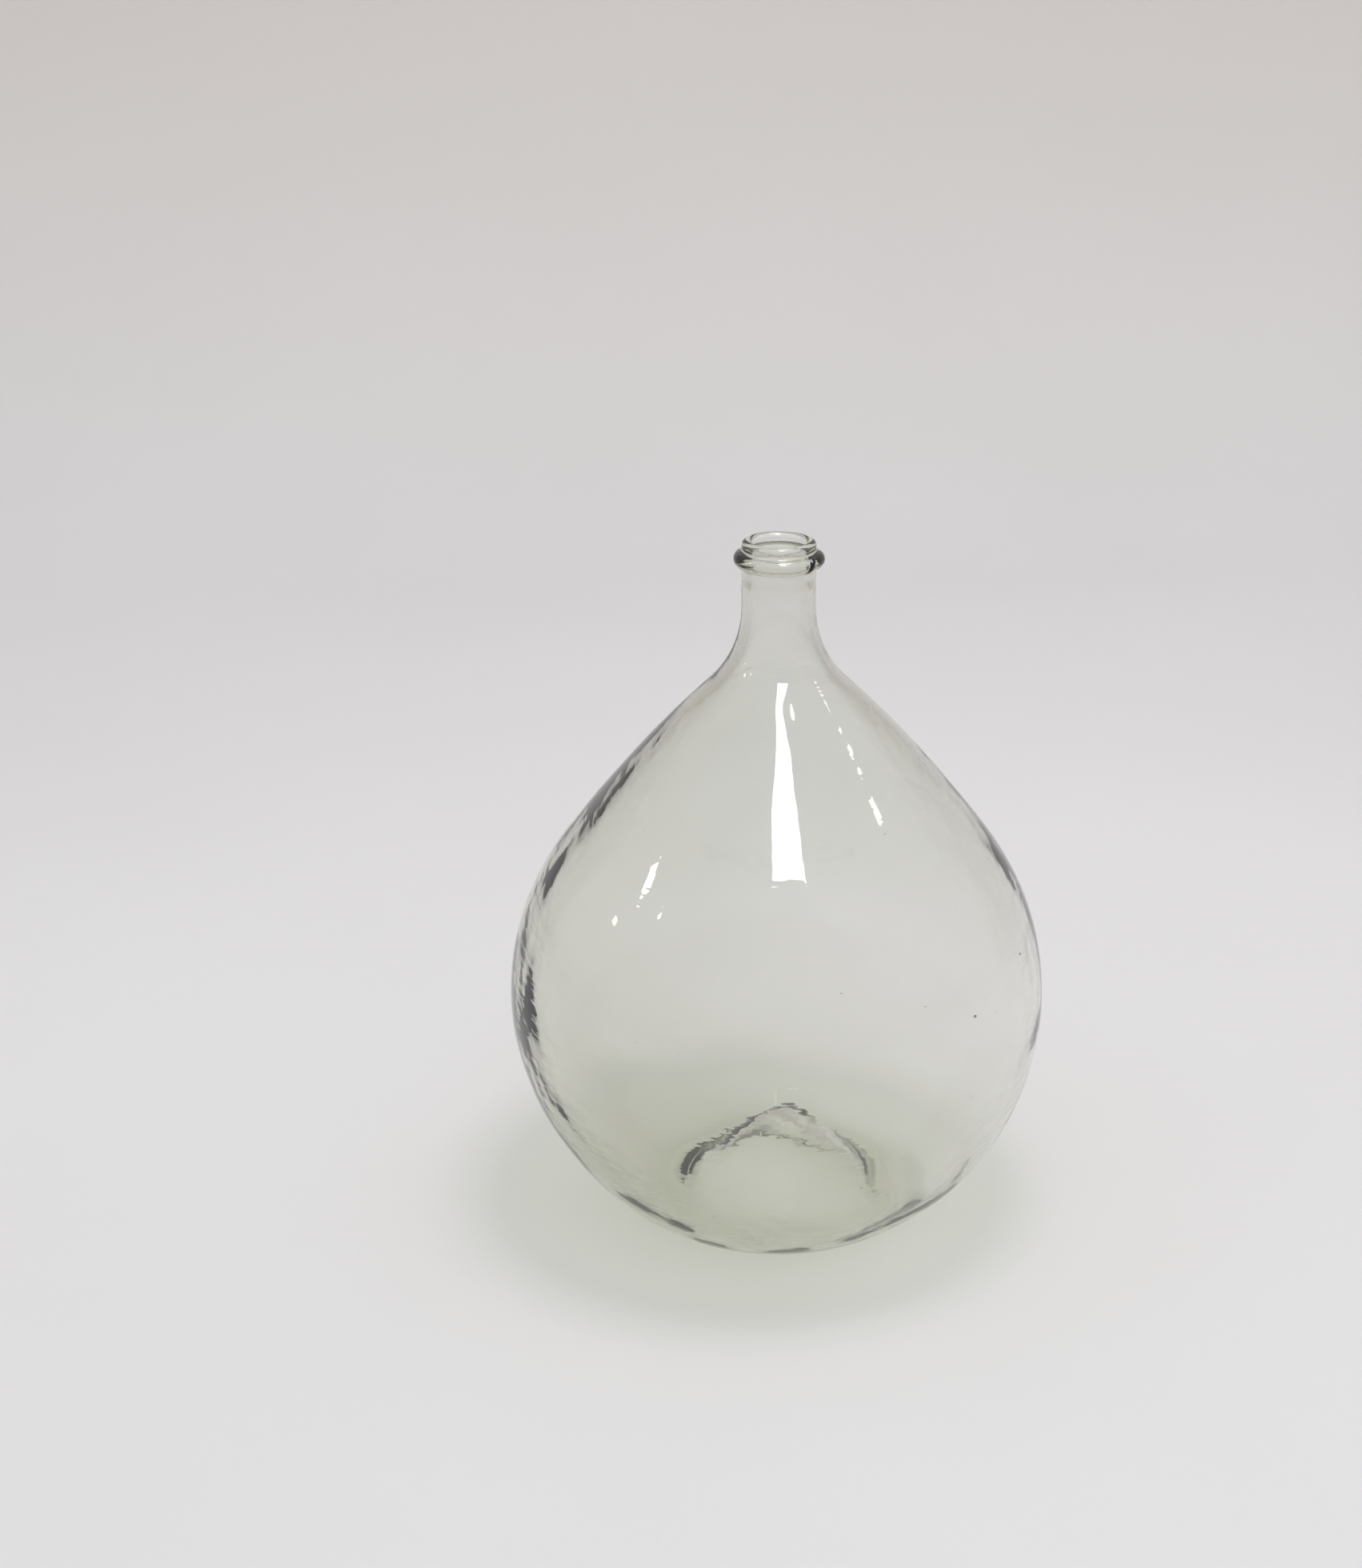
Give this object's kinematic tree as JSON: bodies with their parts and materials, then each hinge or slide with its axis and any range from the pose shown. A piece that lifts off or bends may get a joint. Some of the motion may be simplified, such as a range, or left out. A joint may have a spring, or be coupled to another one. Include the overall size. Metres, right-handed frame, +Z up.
{
  "type": "glass demijohn carboy",
  "caption": "Onion-shaped blown-glass carboy with a short neck, rounded lip, applied neck ring and pushed-up base.",
  "frame": {"origin": "centre of the ring the vessel stands on, at floor level", "axes": "+Z up along the neck, -Y towards the front, +X to the right"},
  "size_m": [0.3499, 0.3498, 0.4566],
  "materials": {
    "vessel_glass": "clear pale green blown glass",
    "ring_glass": "clear pale green glass, thicker and darker"
  },
  "bodies": {
    "root": {"glass_vessel": "vessel_glass", "neck_ring": "ring_glass"}
  },
  "joints": []
}
